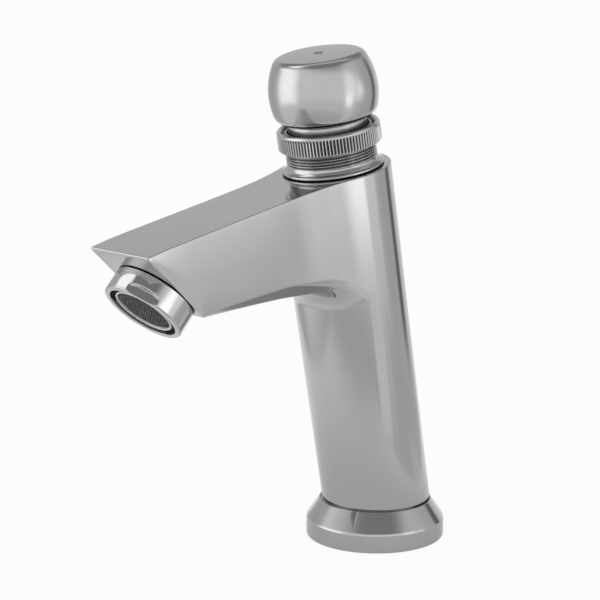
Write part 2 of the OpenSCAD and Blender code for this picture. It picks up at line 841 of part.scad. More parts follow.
module push_button() {
  r = button_d / 2;
  // The barrel side is an arc about the waist
  side_c = [r - button_side_r, button_waist_h];
  // A corner of radius c lies inside the side arc: its centre is on a smaller arc
  foot_x = side_c[0]
    + sqrt(pow(button_side_r - button_foot_r, 2) - pow(button_foot_r - button_waist_h, 2));
  foot_c = [foot_x, button_foot_r];
  shoulder_top = button_h - button_dome;
  shoulder_z = shoulder_top - button_shoulder_r;
  shoulder_x = side_c[0]
    + sqrt(pow(button_side_r - button_shoulder_r, 2) - pow(shoulder_z - button_waist_h, 2));
  shoulder_c = [shoulder_x, shoulder_z];
  foot_a = atan2(foot_c[1] - side_c[1], foot_c[0] - side_c[0]);
  shoulder_a = atan2(shoulder_c[1] - side_c[1], shoulder_c[0] - side_c[0]);
  // The dome starts level with the shoulder's top
  dome_r = (pow(shoulder_x, 2) + pow(button_dome, 2)) / (2 * button_dome);
  dome_a = asin(shoulder_x / dome_r);
  // The dimple is the lower part of a ball whose centre stands above the top
  dimple_r = dimple_d / 2;
  dimple_lift = dimple_r * 0.6;
  nut_room_r = stem_nut_af / 2 / cos(30) + slide_gap;
  color(chrome)
    on_axis(button_z)
      difference() {
        rotate_extrude()
          polygon(concat(
            [[0, 0]],
            arc(foot_c, button_foot_r, -90, foot_a, 6),
            arc(side_c, button_side_r, foot_a, shoulder_a, 24),
            arc(shoulder_c, button_shoulder_r, shoulder_a, 90, 8),
            arc([0, button_h - dome_r], dome_r, 90 - dome_a, 90, 8)
          ));
        translate([0, 0, -eps])
          cylinder(r = boss_d / 2 + seat_gap, h = boss_h + seat_gap + eps);
        translate([0, 0, boss_h])
          cylinder(r = nut_room_r, h = stem_nut_h + 2 * stop_gap);
        translate([0, 0, button_h + dimple_lift])
          sphere(r = dimple_r);
      }
}

module plunger_sleeve() {
  color(chrome)
    difference() {
      union() {
        on_axis(sleeve_z)
          cylinder(r = sleeve_r, h = button_z - sleeve_z);
        on_axis(button_z - eps)
          cylinder(d = boss_d, h = boss_h + eps);
      }
      on_axis(sleeve_z - eps)
        cylinder(r = sleeve_r - sleeve_wall, h = ceiling_z - sleeve_z + eps);
      on_axis(ceiling_z - eps)
        cylinder(r = stem_end_d / 2 + seat_gap, h = boss_top_z - ceiling_z + 2 * eps);
    }
}

module sleeve_nut() {
  color(brass)
    on_axis(boss_top_z)
      hex_nut(stem_nut_af, stem_end_d / 2 + seat_gap, stem_nut_h);
}

module valve_stem() {
  color(steel)
    difference() {
      union() {
        on_axis(stem_z)
          cylinder(d = stem_end_d, h = stem_top_z - stem_z);
        on_axis(washer_top_z)
          cylinder(r = stem_r, h = ceiling_z - washer_top_z);
        on_axis(piston_top_z)
          cylinder(r = stem_r + collar_w, h = collar_h);
      }
      on_axis(clip_z)
        ring(stem_d, stem_r - clip_groove, clip_t);
    }
}

module piston() {
  color(brass)
    difference() {
      on_axis(piston_z)
        ring(piston_r, stem_r + seat_gap, piston_t);
      on_axis(piston_z)
        translate([(stem_r + piston_r) / 2, 0, -eps])
          cylinder(r = bleed_d / 2 + seat_gap, h = piston_t + 2 * eps, $fn = 24);
    }
}

module piston_cup() {
  // The cup opens downwards inside a thin lip
  lip = 1.2;
  hub = 2.5;
  web = cup_t * 0.4;
  color(rubber)
    difference() {
      on_axis(cup_z)
        ring(cup_r, stem_r + seat_gap, cup_t);
      on_axis(cup_z - eps)
        ring(cup_r - lip, stem_r + hub, cup_t - web + eps);
    }
}

module piston_clip() {
  // Width of the clip's opening, and how far the clip stands out of the stem
  opening = 5;
  proud = 1.8;
  color(steel)
    difference() {
      on_axis(clip_z)
        ring(stem_r + proud, stem_r - clip_groove + seat_gap, clip_t);
      on_axis(clip_z - eps)
        translate([0, -opening / 2, 0])
          cube([stem_d, opening, clip_t + 2 * eps]);
    }
}

module bleed_screw() {
  head_h = 1;
  head_d = bleed_d + 0.6;
  slot_w = 0.5;
  color(steel)
    on_axis(piston_z)
      translate([(stem_r + piston_r) / 2, 0, 0])
        difference() {
          union() {
            cylinder(d = bleed_d, h = piston_t + eps, $fn = 24);
            translate([0, 0, piston_t])
              cylinder(d = head_d, h = head_h, $fn = 24);
          }
          translate([-bleed_d, -slot_w / 2, piston_t + head_h / 2])
            cube([2 * bleed_d, slot_w, head_h]);
        }
}

module poppet_washer() {
  setback = 0.4;
  color(rubber)
    on_axis(washer_z)
      ring(poppet_d / 2 - setback, stem_end_d / 2 + seat_gap, washer_t);
}

module poppet() {
  color(brass)
    on_axis(poppet_z)
      ring(poppet_d / 2, stem_end_d / 2 + seat_gap, poppet_t);
}

module poppet_nut() {
  color(brass)
    on_axis(poppet_nut_z)
      hex_nut(stem_nut_af, stem_end_d / 2 + seat_gap, stem_nut_h);
}

tap_body();
base_flange();
deck_gasket();
inlet_strainer();
flow_restrictor();
seat_gasket();
valve_seat();
valve_cage();
bonnet();
bonnet_gasket();
gland_bush();
stem_oring();
knurled_nut();
aerator_shell();
aerator_washer();
aerator_insert();
aerator_diffuser();
aerator_screen();
return_spring();
push_button();
plunger_sleeve();
sleeve_nut();
valve_stem();
piston();
piston_cup();
piston_clip();
bleed_screw();
poppet_washer();
poppet();
poppet_nut();
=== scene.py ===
"""Chrome push timed tap: finished surfaces, materials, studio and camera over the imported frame.

Lengths are written in millimetres and go into the meshes in metres.
"""
import json
import math

import bmesh
import bpy
import numpy as np
from mathutils import Matrix


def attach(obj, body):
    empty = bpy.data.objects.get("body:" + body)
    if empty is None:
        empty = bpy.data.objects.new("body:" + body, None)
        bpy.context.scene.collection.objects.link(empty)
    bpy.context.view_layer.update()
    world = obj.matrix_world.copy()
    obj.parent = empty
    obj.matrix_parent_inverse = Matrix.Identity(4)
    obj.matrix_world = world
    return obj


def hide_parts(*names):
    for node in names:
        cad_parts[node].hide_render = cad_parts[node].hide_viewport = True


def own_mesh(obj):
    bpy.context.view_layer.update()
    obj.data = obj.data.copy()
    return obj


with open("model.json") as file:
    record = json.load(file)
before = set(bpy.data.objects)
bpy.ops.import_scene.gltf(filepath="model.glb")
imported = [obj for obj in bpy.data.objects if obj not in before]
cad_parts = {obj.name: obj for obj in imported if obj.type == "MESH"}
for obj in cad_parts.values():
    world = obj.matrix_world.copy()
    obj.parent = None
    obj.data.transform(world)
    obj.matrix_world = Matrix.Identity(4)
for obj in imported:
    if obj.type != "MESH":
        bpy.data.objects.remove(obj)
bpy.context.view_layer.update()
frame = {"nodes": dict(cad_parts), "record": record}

MM = 0.001
TURN = 2 * math.pi

# Column: leaning axis, radii, its length from the flange to the top face, and the radius of its top edge
LEAN = math.radians(10.5)
SETBACK, FLANGE_H = 0.5, 14.4
COLUMN_R0, COLUMN_R1, COLUMN_LEN = 19.4, 20.1, 124.5
RIM = 0.4
# Flange: rim, bore, the top of its cone, and the recess of the gasket under it
FLANGE_R, FLANGE_RIM_H, FLANGE_BORE = 24.98, 6.8, 14.9
CONE_R, CONE_Z = 20.1, 14.1
RECESS_R, RECESS_H = 23.6, 1.52
# Casting's foot inside the flange: inlet socket, the step that holds the discs, and the passage above it
INLET_R, INLET_DEPTH, FOOT_R, FOOT_H = 9.3, 11.0, 14.85, 20.0
DISC_R, DISC_TOP, PASSAGE_R = 8.7, 14.0, 7.15
# Spout
REACH, HALF_W, DROP = 98.3, 14.8, 22.5
FACE_TILT = math.radians(43.5)
BLEND_R, TIP_CORNER_R = 90.0, 0.8
SKIN_REACH, NOSE_DROOP = 97.6, 0.35
FACET_TILT, FACET_H, THROAT_R = math.radians(45), 5.4, 8.0
TIP_TAPER, TAPER_LEN, SIDE_BOW = 0.45, 18.0, 0.25
# Aerator
SHELL_R, SHELL_PROUD, SHELL_MARGIN = 14.15, 8.4, 7.6
THREAD_LEN, LEDGE_Z, INSERT_TOP = 6.0, 5.2, SHELL_PROUD - 0.6
# Valve head, measured along the leaning axis
BELL_Z, BELL_R, BELL_H = COLUMN_LEN + 0.4, 17.8, 2.7
NECK_R, NECK_BORE = 15.8, 14.1
SPIGOT_Z, SPIGOT_R = COLUMN_LEN - 14, 16.0
NUT_Z, NUT_H, NUT_R, NUT_BORE = COLUMN_LEN + 7.9, 7.3, 17.9, 15.85
NUT_TOP = NUT_Z + NUT_H
RIBS = 96
BUTTON_Z, BUTTON_H, BUTTON_R = NUT_TOP + 2.5, 22.58, 18.9
SPRING_LOW, SPRING_HIGH = COLUMN_LEN - 4.25, BUTTON_Z - 2.25

TIP_Y = SETBACK - COLUMN_LEN * math.sin(LEAN) - REACH * math.cos(LEAN)
TIP_Z = FLANGE_H + COLUMN_LEN * math.cos(LEAN) - REACH * math.sin(LEAN)
UNDER_Z = TIP_Z - DROP
MOUTH_ALONG = SHELL_MARGIN + SHELL_R
MOUTH_Y = TIP_Y + MOUTH_ALONG * math.cos(FACE_TILT)
MOUTH_Z = TIP_Z - MOUTH_ALONG * math.sin(FACE_TILT)


# Places

def on_axis(x, y, s):
    """A point given across (x), behind (y) and along (s) the leaning axis, turned by the lean about X."""
    return np.stack([
        x,
        SETBACK + y * math.cos(LEAN) - s * math.sin(LEAN),
        FLANGE_H + y * math.sin(LEAN) + s * math.cos(LEAN),
    ], -1)


def on_face(x, y, z):
    """A point given across (x), towards the tip (y) and out of the slanted end face (z)."""
    return np.stack([
        x,
        MOUTH_Y - y * math.cos(FACE_TILT) - z * math.sin(FACE_TILT),
        MOUTH_Z + y * math.sin(FACE_TILT) - z * math.cos(FACE_TILT),
    ], -1)


def upright(x, y, z):
    """A point in the tap's own frame."""
    return np.stack([x, y, z], -1)


# Lines and grids

def smooth(t):
    """Smooth step: 3t^2 - 2t^3, held at 0 and 1 outside."""
    t = np.clip(t, 0, 1)
    return t * t * (3 - 2 * t)


def arc(cx, cz, r, a0, a1, n):
    """Points at radius r round (cx, cz), with the angle running evenly from a0 to a1 degrees."""
    a = np.radians(np.linspace(a0, a1, n))
    return np.stack([cx + r * np.cos(a), cz + r * np.sin(a)], -1)


def filleted(corners, steps=6):
    """A closed outline through (r, z, fillet) corners. Each corner with a fillet becomes an arc that is
    tangent to both of its edges: its centre lies on the bisector, fillet / sin(half angle) from the corner."""
    out = []
    for i, (r, z, f) in enumerate(corners):
        p = np.array([r, z])
        a = np.array(corners[i - 1][:2]) - p
        b = np.array(corners[(i + 1) % len(corners)][:2]) - p
        if f <= 0:
            out.append(p[None])
            continue
        a, b = a / np.linalg.norm(a), b / np.linalg.norm(b)
        half = math.acos(np.clip(a @ b, -1, 1)) / 2
        middle = (a + b) / np.linalg.norm(a + b)
        centre = p + middle * f / math.sin(half)
        start, end = p + a * f / math.tan(half) - centre, p + b * f / math.tan(half) - centre
        t = np.linspace(0, 1, steps)[:, None]
        way = start * (1 - t) + end * t
        out.append(centre + f * way / np.linalg.norm(way, axis=1)[:, None])
    return np.concatenate(out)


def grid_faces(rows, cols, wrap_rows, wrap_cols):
    """Quads between neighbouring points of a rows by cols grid, joined round either way if asked."""
    i = np.arange(rows if wrap_rows else rows - 1)
    j = np.arange(cols if wrap_cols else cols - 1)
    i, j = np.meshgrid(i, j, indexing="ij")
    i2, j2 = (i + 1) % rows, (j + 1) % cols
    return np.stack([i * cols + j, i * cols + j2, i2 * cols + j2, i2 * cols + j], -1).reshape(-1, 4)


def piece(name, shells, material, body, stands_for=(), groove=None):
    """One object from closed shells of (points, faces). Doubled points at poles and seams are merged, faces
    are turned outwards, and each corner's shading is the area-weighted mean of the faces round it, so that
    broad faces stay true beside narrow rounded edges. groove(points) may give each point a depth from 0 to 1,
    kept as an attribute with which the finish paints shade into grooves and hollows."""
    points, faces, start = [], [], 0
    for p, f in shells:
        points.append(p)
        faces.append(f + start)
        start += len(p)
    mesh = bpy.data.meshes.new(name)
    mesh.from_pydata((np.concatenate(points) * MM).tolist(), [], np.concatenate(faces).tolist())
    work = bmesh.new()
    work.from_mesh(mesh)
    bmesh.ops.remove_doubles(work, verts=work.verts, dist=2e-6)
    bmesh.ops.dissolve_degenerate(work, edges=work.edges, dist=1e-7)
    bmesh.ops.recalc_face_normals(work, faces=work.faces)
    work.to_mesh(mesh)
    work.free()
    count = len(mesh.polygons)
    area, normal = np.empty(count), np.empty(count * 3)
    total = np.empty(count, int)
    corner = np.empty(len(mesh.loops), int)
    mesh.polygons.foreach_get("area", area)
    mesh.polygons.foreach_get("normal", normal)
    mesh.polygons.foreach_get("loop_total", total)
    mesh.loops.foreach_get("vertex_index", corner)
    weight = np.repeat(normal.reshape(-1, 3) * area[:, None], total, axis=0)
    mean = np.zeros((len(mesh.vertices), 3))
    np.add.at(mean, corner, weight)
    mean /= np.maximum(np.linalg.norm(mean, axis=1), 1e-20)[:, None]
    mesh.polygons.foreach_set("use_smooth", np.ones(count, bool))
    mesh.normals_split_custom_set_from_vertices(mean.tolist())
    # Depth kept for the painted shade in grooves and hollows
    if groove is not None:
        place = np.empty(len(mesh.vertices) * 3)
        mesh.vertices.foreach_get("co", place)
        layer = mesh.attributes.new("groove", "FLOAT", "POINT")
        layer.data.foreach_set("value", groove(place.reshape(-1, 3) / MM).astype(np.float32))
    obj = bpy.data.objects.new(name, mesh)
    bpy.context.scene.collection.objects.link(obj)
    obj.data.materials.append(material)
    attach(obj, body)
    if stands_for:
        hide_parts(*stands_for)
    return obj


def turned(profile, place, n=160, wave=None):
    """A turned shell: every (r, z) of a closed profile carried round the axis. wave(r, z, angle) may change r."""
    a = np.arange(n) * TURN / n
    r = np.repeat(profile[:, :1], n, 1)
    z = np.repeat(profile[:, 1:], n, 1)
    a = np.repeat(a[None], len(profile), 0)
    if wave is not None:
        r = wave(r, z, a)
    points = place(r * np.cos(a), r * np.sin(a), z).reshape(-1, 3)
    return points, grid_faces(len(profile), n, True, True)


def spaced(points, step):
    """The same outline with its straight runs cut into lengths of about one step."""
    nxt = np.roll(points, -1, 0)
    runs = []
    for p, q in zip(points, nxt):
        n = max(1, int(round(np.linalg.norm(q - p) / step)))
        runs.append(p + (q - p) * (np.arange(n) / n)[:, None])
    return np.concatenate(runs)


# Materials

class Nodes:
    """Short calls for making a node tree."""

    def __init__(self, tree):
        self.tree = tree
        self.tree.nodes.clear()

    def add(self, kind, **values):
        node = self.tree.nodes.new(kind)
        for key, value in values.items():
            if hasattr(node, key):
                setattr(node, key, value)
            else:
                node.inputs[key.replace("_", " ")].default_value = value
        return node

    def link(self, a, b):
        self.tree.links.new(a, b)


def finish(name, tones, metallic, rough, grain, bump, specular=0.5, painted_groove_shade=None):
    """A finish whose tone runs between two colours, and whose roughness runs between two values, on cloudy
    noise of the given grain sizes (per metre); bump gives the height of the finest grain in metres. With a
    groove shade colour, the finish darkens to it with the piece's groove attribute: painted shade in grooves
    and hollows."""
    mat = bpy.data.materials.new(name)
    mat.use_nodes = True
    k = Nodes(mat.node_tree)
    out = k.add("ShaderNodeOutputMaterial")
    shader = k.add("ShaderNodeBsdfPrincipled")
    shader.inputs["Metallic"].default_value = metallic
    shader.inputs["Specular IOR Level"].default_value = specular
    coords = k.add("ShaderNodeTexCoord")
    cloud = k.add("ShaderNodeTexNoise", Scale=grain[0], Detail=3.0)
    fine = k.add("ShaderNodeTexNoise", Scale=grain[1], Detail=2.0)
    k.link(coords.outputs["Object"], cloud.inputs["Vector"])
    k.link(coords.outputs["Object"], fine.inputs["Vector"])
    ramp = k.add("ShaderNodeValToRGB")
    ramp.color_ramp.elements[0].position = 0.35
    ramp.color_ramp.elements[1].position = 0.65
    ramp.color_ramp.elements[0].color = (*tones[0], 1)
    ramp.color_ramp.elements[1].color = (*tones[1], 1)
    k.link(cloud.outputs["Fac"], ramp.inputs["Fac"])
    tone = ramp.outputs["Color"]
    # Painted shade: where the groove attribute is deep, the base colour darkens to the near-black groove shade
    if painted_groove_shade:
        depth = k.add("ShaderNodeAttribute", attribute_name="groove")
        painted_shade = k.add("ShaderNodeMix", data_type="RGBA")
        painted_shade.inputs[7].default_value = (*painted_groove_shade, 1)
        k.link(depth.outputs["Fac"], painted_shade.inputs[0])
        k.link(tone, painted_shade.inputs[6])
        tone = painted_shade.outputs[2]
    k.link(tone, shader.inputs["Base Color"])
    level = k.add("ShaderNodeMapRange")
    for key, value in zip(("From Min", "From Max", "To Min", "To Max"), (0.3, 0.7, *rough)):
        level.inputs[key].default_value = value
    k.link(fine.outputs["Fac"], level.inputs["Value"])
    k.link(level.outputs["Result"], shader.inputs["Roughness"])
    if bump:
        relief = k.add("ShaderNodeBump", Strength=1.0, Distance=bump)
        k.link(fine.outputs["Fac"], relief.inputs["Height"])
        k.link(relief.outputs["Normal"], shader.inputs["Normal"])
    k.link(shader.outputs["BSDF"], out.inputs["Surface"])
    return mat


CHROME_BODY = finish("chrome_cast_polished", ((0.435, 0.436, 0.438), (0.455, 0.456, 0.458)), 1.0,
                     (0.07, 0.11), (35, 900), 0)
CHROME_TURNED = finish("chrome_turned_polished", ((0.43, 0.431, 0.433), (0.46, 0.461, 0.463)), 1.0,
                       (0.04, 0.08), (60, 1400), 0)
# The ribs' and the thread's grooves and the hollows get painted shade, nearly black, from the groove attribute
CHROME_WITH_GROOVE_SHADE = finish("chrome_ribs_painted_groove_shade", ((0.46, 0.461, 0.463), (0.49, 0.491, 0.493)), 1.0,
                        (0.04, 0.08), (60, 1400), 0, painted_groove_shade=(0.05, 0.05, 0.05))
CHROME_BUTTON = finish("chrome_soft_polished", ((0.43, 0.431, 0.433), (0.46, 0.461, 0.463)), 1.0,
                       (0.15, 0.19), (60, 700), 0)
CHROME_SLEEVE = finish("chrome_drawn_sleeve", ((0.43, 0.431, 0.433), (0.46, 0.461, 0.463)), 1.0,
                       (0.26, 0.32), (60, 1400), 0)
BRASS = finish("machined_brass", ((0.56, 0.40, 0.16), (0.66, 0.49, 0.22)), 1.0,
               (0.22, 0.36), (90, 1800), 2e-6)
STEEL = finish("stainless_wire", ((0.40, 0.40, 0.41), (0.50, 0.50, 0.51)), 1.0,
               (0.25, 0.4), (120, 2200), 2e-6)
SCREEN_STEEL = finish("dull_woven_steel", ((0.06, 0.06, 0.06), (0.15, 0.15, 0.15)), 1.0,
                      (0.35, 0.5), (900, 2600), 0)
RUBBER = finish("black_rubber", ((0.010, 0.010, 0.010), (0.022, 0.022, 0.022)), 0.0,
                (0.55, 0.75), (200, 3000), 8e-6, specular=0.3)
PLASTIC = finish("white_moulded_plastic", ((0.64, 0.64, 0.63), (0.70, 0.70, 0.69)), 0.0,
                 (0.35, 0.5), (150, 2500), 4e-6)

BY_SLOT = {"chrome_body": CHROME_BODY, "chrome_trim": CHROME_TURNED, "brass": BRASS, "steel": STEEL,
           "rubber": RUBBER, "white_plastic": PLASTIC}
for part in frame["record"]["subparts"]:
    node = frame["nodes"][part["node"]]
    node.data.materials.clear()
    node.data.materials.append(BY_SLOT[part["material_slot"]])


# Body

def column_radius(s):
    """The column widens evenly from its foot to its top."""
    return COLUMN_R0 + (COLUMN_R1 - COLUMN_R0) * s / COLUMN_LEN


def column_shell():
    """A slightly widening tube about the leaning axis with a rounded top rim. Under the spout's flat top the
    tube's top dips a little, so that only one of the two surfaces is there to be seen."""
    low, bore, bore_edge, bore_mid, n = -4.2, 16.1, 1.5, 60.0, 240
    dip, dip_edge = 0.06, 0.09
    wall_s = np.linspace(low, COLUMN_LEN - RIM, 24)
    wall = np.stack([column_radius(wall_s), wall_s], -1)
    top = arc(COLUMN_R1 - RIM, COLUMN_LEN - RIM, RIM, 0, 90, 6)[1:]
    inner = np.array([[bore + bore_edge, COLUMN_LEN], [bore, COLUMN_LEN], [bore, bore_mid], [bore, low]])
    profile = np.concatenate([wall, top, inner])
    a = np.repeat((np.arange(n) * TURN / n)[None], len(profile), 0)
    r, s = np.repeat(profile[:, :1], n, 1), np.repeat(profile[:, 1:], n, 1)
    from_front = np.arccos(-np.sin(a))
    s = s - dip * smooth((TOUCH_ANGLE - from_front) / dip_edge) * (s > COLUMN_LEN - RIM)
    points = on_axis(r * np.cos(a), r * np.sin(a), s).reshape(-1, 3)
    return points, grid_faces(len(profile), n, True, True)


# The hollow blend is a circle of radius BLEND_R that touches the spout's side and the column
BLEND_X = HALF_W + BLEND_R
BLEND_Y = -math.sqrt((COLUMN_R1 + BLEND_R) ** 2 - BLEND_X ** 2)
TOUCH_X = BLEND_X * COLUMN_R1 / (COLUMN_R1 + BLEND_R)
TOUCH_Y = BLEND_Y * COLUMN_R1 / (COLUMN_R1 + BLEND_R)
TOUCH_ANGLE = math.atan2(TOUCH_X, -TOUCH_Y)


def spout_half_width(y, s):
    """Half width at y along the top face and height s: straight sides that draw in as a square towards the tip
    and end in slightly rounded corners, then the blend circle, drawn in by as much as the column is thinner at
    that height. Past the line where it touches the column the side follows the column and sinks slowly below
    its surface."""
    lead = np.clip(y + SKIN_REACH, 0, TIP_CORNER_R)
    corner = TIP_CORNER_R - np.sqrt(TIP_CORNER_R ** 2 - (TIP_CORNER_R - lead) ** 2)
    corner = corner + TIP_TAPER * np.clip(1 - (y + SKIN_REACH) / TAPER_LEN, 0, 1) ** 2
    flare = BLEND_X - np.sqrt(BLEND_R ** 2 - np.clip(y - BLEND_Y, 0, 0.9 * BLEND_R) ** 2) - HALF_W
    thinner = (COLUMN_R1 - column_radius(s)) * smooth((y - BLEND_Y) / (TOUCH_Y - BLEND_Y))
    past = np.maximum(y - TOUCH_Y, 0)
    sink = 0.002 * past ** 2 + 0.01 * past ** 3
    beside = np.sqrt(column_radius(s) ** 2 - y ** 2 * (past > 0)) - sink
    return np.where(past > 0, beside, HALF_W - corner + flare - thinner)


def underside(y):
    """Height along the axis of the level underside, at y along the top face."""
    return (UNDER_Z - FLANGE_H - y * math.sin(LEAN)) / math.cos(LEAN)


# The column's radius where the throat runs out on it
ROOT_R = column_radius(underside(-COLUMN_R1) - THROAT_R)


def throat_drop(x, y):
    """How far the underside curves down to run into the column: a quarter circle of radius THROAT_R measured
    from the column's surface, full at the column and nothing a radius away."""
    away = np.clip(np.hypot(x, y) - ROOT_R, 0, THROAT_R)
    return THROAT_R - np.sqrt(THROAT_R ** 2 - (THROAT_R - away) ** 2)


def edge_sizes(y, heel, room):
    """Height of the lower edge at each station, and the radii above and below its facet. It is a fine bevel
    along the end face; past the heel it grows to its full height, and near the column its upper corner melts
    away."""
    bevel, grow_len = 0.35, 38.0
    past_heel = smooth((y - heel + 1.0) / 1.5)
    tall = bevel * (1 + past_heel) + (FACET_H - 2 * bevel) * np.clip((y - heel) / grow_len, 0, 1) ** 0.8
    tall = np.minimum(tall, 0.5 * room)
    melt = smooth((y + 40) / 20)
    return tall, tall * (0.12 + 0.75 * melt), tall * (0.22 + 0.4 * melt)


def edge_depth(inward, tall, upper, lower):
    """Depth of the lower edge a distance inward from the side: an arc of the upper radius from upright to the
    facet's tilt t, a straight facet, an arc of the lower radius to level, then level. An arc of radius r from
    upright reaches r sin t deep at r (1 - cos t) inward; the lower arc starts r cos t before its level end."""
    c, t = math.cos(FACET_TILT), math.sin(FACET_TILT)
    straight = np.maximum(tall - upper * t - lower * (1 - t), 0) / c
    first = upper * (1 - c)
    end = first + straight * t + lower * c
    arc_in = np.sqrt(np.clip(upper ** 2 - (upper - inward) ** 2, 0, None))
    line = upper * t + (inward - first) * c / t
    arc_out = tall - lower + np.sqrt(np.clip(lower ** 2 - (end - inward) ** 2, 0, None))
    zones = [inward < first, inward < end - lower * c, inward < end]
    return np.select(zones, [arc_in, line, arc_out], tall)


def spout_shell():
    """Sections square to the top face, from the rounded nose to inside the column. Each half section runs from
    the middle of the top, over a small edge radius, down the side, round the lower edge and along the bottom.
    The bottom is the higher of the level underside and the slanted end face, so that the end face is part of
    the same grid. At the column the bottom curves down, and goes on just below the column's surface."""
    col = lambda v: v[:, None]
    nose, droop_len, soft = 0.45, 11.0, 0.35
    wedge = math.tan(FACE_TILT + LEAN)
    heel = -REACH + (COLUMN_LEN - underside(-REACH)) / (wedge - math.tan(LEAN))
    # Stations along the spout, closer together at the nose, the heel, the throat and the blend
    y = np.unique(np.concatenate([
        -SKIN_REACH + nose * (1 - np.cos(np.linspace(0, math.pi / 2, 8))),
        np.linspace(-SKIN_REACH + nose, heel - 1.0, 22),
        heel + np.linspace(-1.0, 1.0, 17),
        np.linspace(heel + 1.0, -ROOT_R - THROAT_R, 20),
        -ROOT_R - THROAT_R * (1 - np.sin(np.linspace(0, math.pi / 2, 22))),
        -ROOT_R * np.cos(np.linspace(0, TOUCH_ANGLE, 64)),
        TOUCH_Y + np.array([0.4, 1.0, 2.0, 3.0]),
    ]).round(4))
    lead = y + SKIN_REACH
    top = COLUMN_LEN - NOSE_DROOP * np.clip(1 - lead / droop_len, 0, 1) ** 2
    face, level = COLUMN_LEN - (y + REACH) * wedge, underside(y)
    bottom = np.maximum(face, level) + np.maximum(soft - np.abs(face - level), 0) ** 2 / (4 * soft)
    middle = (top + bottom) / 2
    full = np.sqrt(np.clip(1 - np.clip(1 - lead / nose, 0, 1) ** 2, 0, 1))
    top, bottom = middle + (top - middle) * full, middle + (bottom - middle) * full
    height = top - bottom
    edge = np.minimum(RIM, 0.3 * height)
    # Top, with its edge radius; the side wall swells from here by the bow, which melts away at the column
    bow = SIDE_BOW * smooth(-(y + 24) / 30) * smooth(lead / 4)
    w_top = spout_half_width(y, top) - bow
    flat = col(w_top - edge) * np.array([[0, 0.5, 0.9]])
    b = np.radians(np.linspace(90, 0, 5))[None]
    x = [flat, col(w_top - edge) + col(edge) * np.cos(b)]
    s = [np.repeat(col(top), 3, 1), col(top - edge) + col(edge) * np.sin(b)]
    share = [np.zeros((len(y), 8))]
    # Side wall
    tall, upper, lower = edge_sizes(y, heel, height)
    wall_end = bottom + tall
    part = np.linspace(0.05, 0.97, 16)[None]
    s.append(col(top - edge) + col(wall_end - top + edge) * part)
    x.append(spout_half_width(col(y), s[-1]) - col(bow) * (1 - 2 * part) ** 2)
    share.append(np.repeat(part ** 2, len(y), 0))
    # Lower edge and bottom as far as the column, closer together at both ends
    w_low = spout_half_width(y, wall_end) - bow
    inner = np.minimum(np.sqrt(np.clip(ROOT_R ** 2 - y ** 2, 0, None)), w_low)
    run = 0.5 - 0.5 * np.cos(np.linspace(0, math.pi, 73))[None]
    inward = col(w_low - inner) * run
    x.append(col(w_low) - inward)
    s.append(col(wall_end) - edge_depth(inward, col(tall), col(upper), col(lower)))
    share.append(np.ones_like(inward))
    # Inside the column: down just under its surface, then across to the middle
    inside_r = np.array([[ROOT_R - 0.05, ROOT_R - 0.7, 0]])
    within = np.sqrt(np.clip(inside_r ** 2 - col(y) ** 2, 0, None))
    x.append(np.minimum(within, col(inner)))
    s.append(s[-1][:, -1:] - col(np.minimum(inner, 1)) * np.array([[1.5, 2.6, 2.6]]))
    share.append(np.ones((len(y), 3)))
    x, s, share = np.concatenate(x, 1), np.concatenate(s, 1), np.concatenate(share, 1)
    drop = share * throat_drop(x, col(y))
    s = s - drop
    # The column is thinner lower down, so what drops is drawn in with it
    x = x * (1 - drop * (COLUMN_R1 - COLUMN_R0) / COLUMN_LEN / COLUMN_R1)
    half = np.stack([x, s], -1)
    loop = np.concatenate([half, half[:, -2:0:-1] * np.array([-1, 1])], 1)
    rows, cols = loop.shape[:2]
    points = on_axis(loop[..., 0], np.repeat(col(y), cols, 1), loop[..., 1])
    # The ends are closed by strips across the first and last sections
    k = np.arange(half.shape[1] - 1)
    across = np.stack([k, k + 1, (cols - k - 1) % cols, (cols - k) % cols], -1)[:-1]
    faces = [grid_faces(rows, cols, False, True), across, across + (rows - 1) * cols]
    return points.reshape(-1, 3), np.concatenate(faces)


def inlet_profile():
    """Foot of the casting: chamfered mouth, socket, the step that holds the discs, passage and outer wall."""
    chamfer = 0.7
    socket_z = np.linspace(chamfer, INLET_DEPTH - 0.1, 72)
    socket = np.stack([np.full(len(socket_z), INLET_R), socket_z], -1)
    rest = filleted([(INLET_R, INLET_DEPTH, 0), (DISC_R, INLET_DEPTH, 0), (DISC_R, DISC_TOP, 0),
                     (PASSAGE_R, DISC_TOP, 0), (PASSAGE_R, FOOT_H, 0), (FOOT_R, FOOT_H, 0), (FOOT_R, 0, 0.3),
                     (INLET_R + chamfer, 0, 0.05)], 5)
    return np.concatenate([socket, rest])


def pipe_thread(r, z, a):
    """A helix of grooves in the socket's wall: depth times a half cosine of (height / pitch - turn)."""
    pitch, depth = 1.814, 0.9
    on = smooth((z - 0.7) / 0.5) * smooth((INLET_DEPTH - 0.3 - z) / 0.5) * (np.abs(r - INLET_R) < 0.05)
    return r + depth * on * (0.5 - 0.5 * np.cos(TURN * (z / pitch - a / TURN)))


piece("tap_body_skin", [column_shell(), spout_shell(), turned(inlet_profile(), upright, 144, wave=pipe_thread)],
      CHROME_BODY, "tap", ["tap_body"])


# Base

